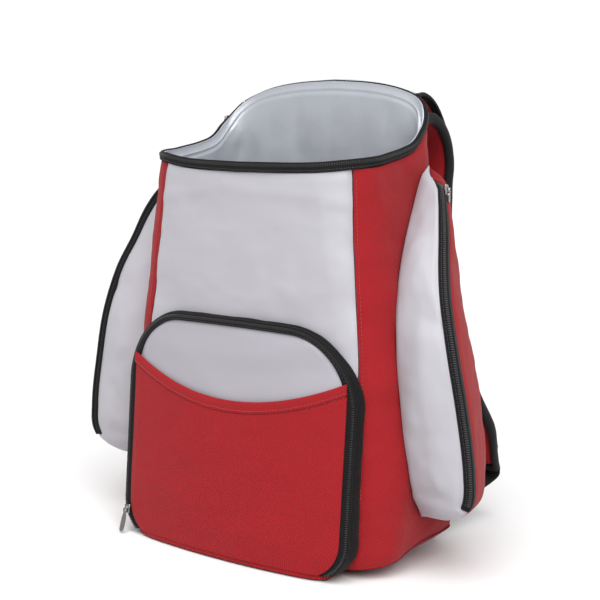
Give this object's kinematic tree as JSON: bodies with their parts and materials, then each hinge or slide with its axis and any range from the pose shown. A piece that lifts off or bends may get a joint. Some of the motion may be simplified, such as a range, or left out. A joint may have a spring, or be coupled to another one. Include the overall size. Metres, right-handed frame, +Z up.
{
  "type": "cooler backpack",
  "caption": "Soft insulated backpack with an arched open mouth, a lid turned back, a front pocket, bulged side pockets and padded shoulder straps.",
  "frame": {"origin": "on the ground under the middle of the bag's bounding box", "axes": "+Z up, -Y the front with the zipped pocket, +X the right-hand side seen from the front; the shoulder straps are on +Y"},
  "size_m": [0.423, 0.2634, 0.4214],
  "materials": {
    "red_cloth": "matt woven polyester",
    "grey_cloth": "fine silvery woven polyester, slight sheen",
    "lining_film": "soft silvery plastic film, satin",
    "black_tape": "woven zip tape",
    "black_webbing": "ribbed webbing",
    "buckle_plastic": "moulded, satin",
    "zip_metal": "plated, semi-bright"
  },
  "bodies": {
    "root": {"front_panel": "grey_cloth", "side_panel_left": "red_cloth", "side_panel_right": "red_cloth", "back_panel": "red_cloth", "base_panel": "red_cloth", "lining": "lining_film", "mouth_zip": "black_tape", "hinge_binding": "black_tape", "lid_lining": "lining_film", "lid_panel": "red_cloth", "lid_zip": "black_tape", "front_pocket_gusset": "black_tape", "front_pocket_zip": "black_tape", "front_pocket_panel": "grey_cloth", "slip_pocket": "red_cloth", "slip_pocket_hem": "red_cloth", "front_pocket_base": "red_cloth", "side_pocket_panel_left": "grey_cloth", "side_pocket_zip_left": "black_tape", "side_pocket_rear_left": "red_cloth", "strap_pad_left": "red_cloth", "strap_binding_left": "black_webbing", "strap_webbing_left": "black_webbing", "strap_buckle_left": "buckle_plastic", "lower_webbing_left": "black_webbing", "side_pocket_panel_right": "grey_cloth", "side_pocket_zip_right": "black_tape", "side_pocket_rear_right": "red_cloth", "strap_pad_right": "red_cloth", "strap_binding_right": "black_webbing", "strap_webbing_right": "black_webbing", "strap_buckle_right": "buckle_plastic", "lower_webbing_right": "black_webbing", "front_pocket_slider": "zip_metal", "front_pocket_puller": "zip_metal", "side_pocket_left_slider": "zip_metal", "side_pocket_left_puller": "zip_metal", "side_pocket_right_slider": "zip_metal", "side_pocket_right_puller": "zip_metal", "mouth_slider": "zip_metal", "mouth_puller": "zip_metal"}
  },
  "joints": []
}
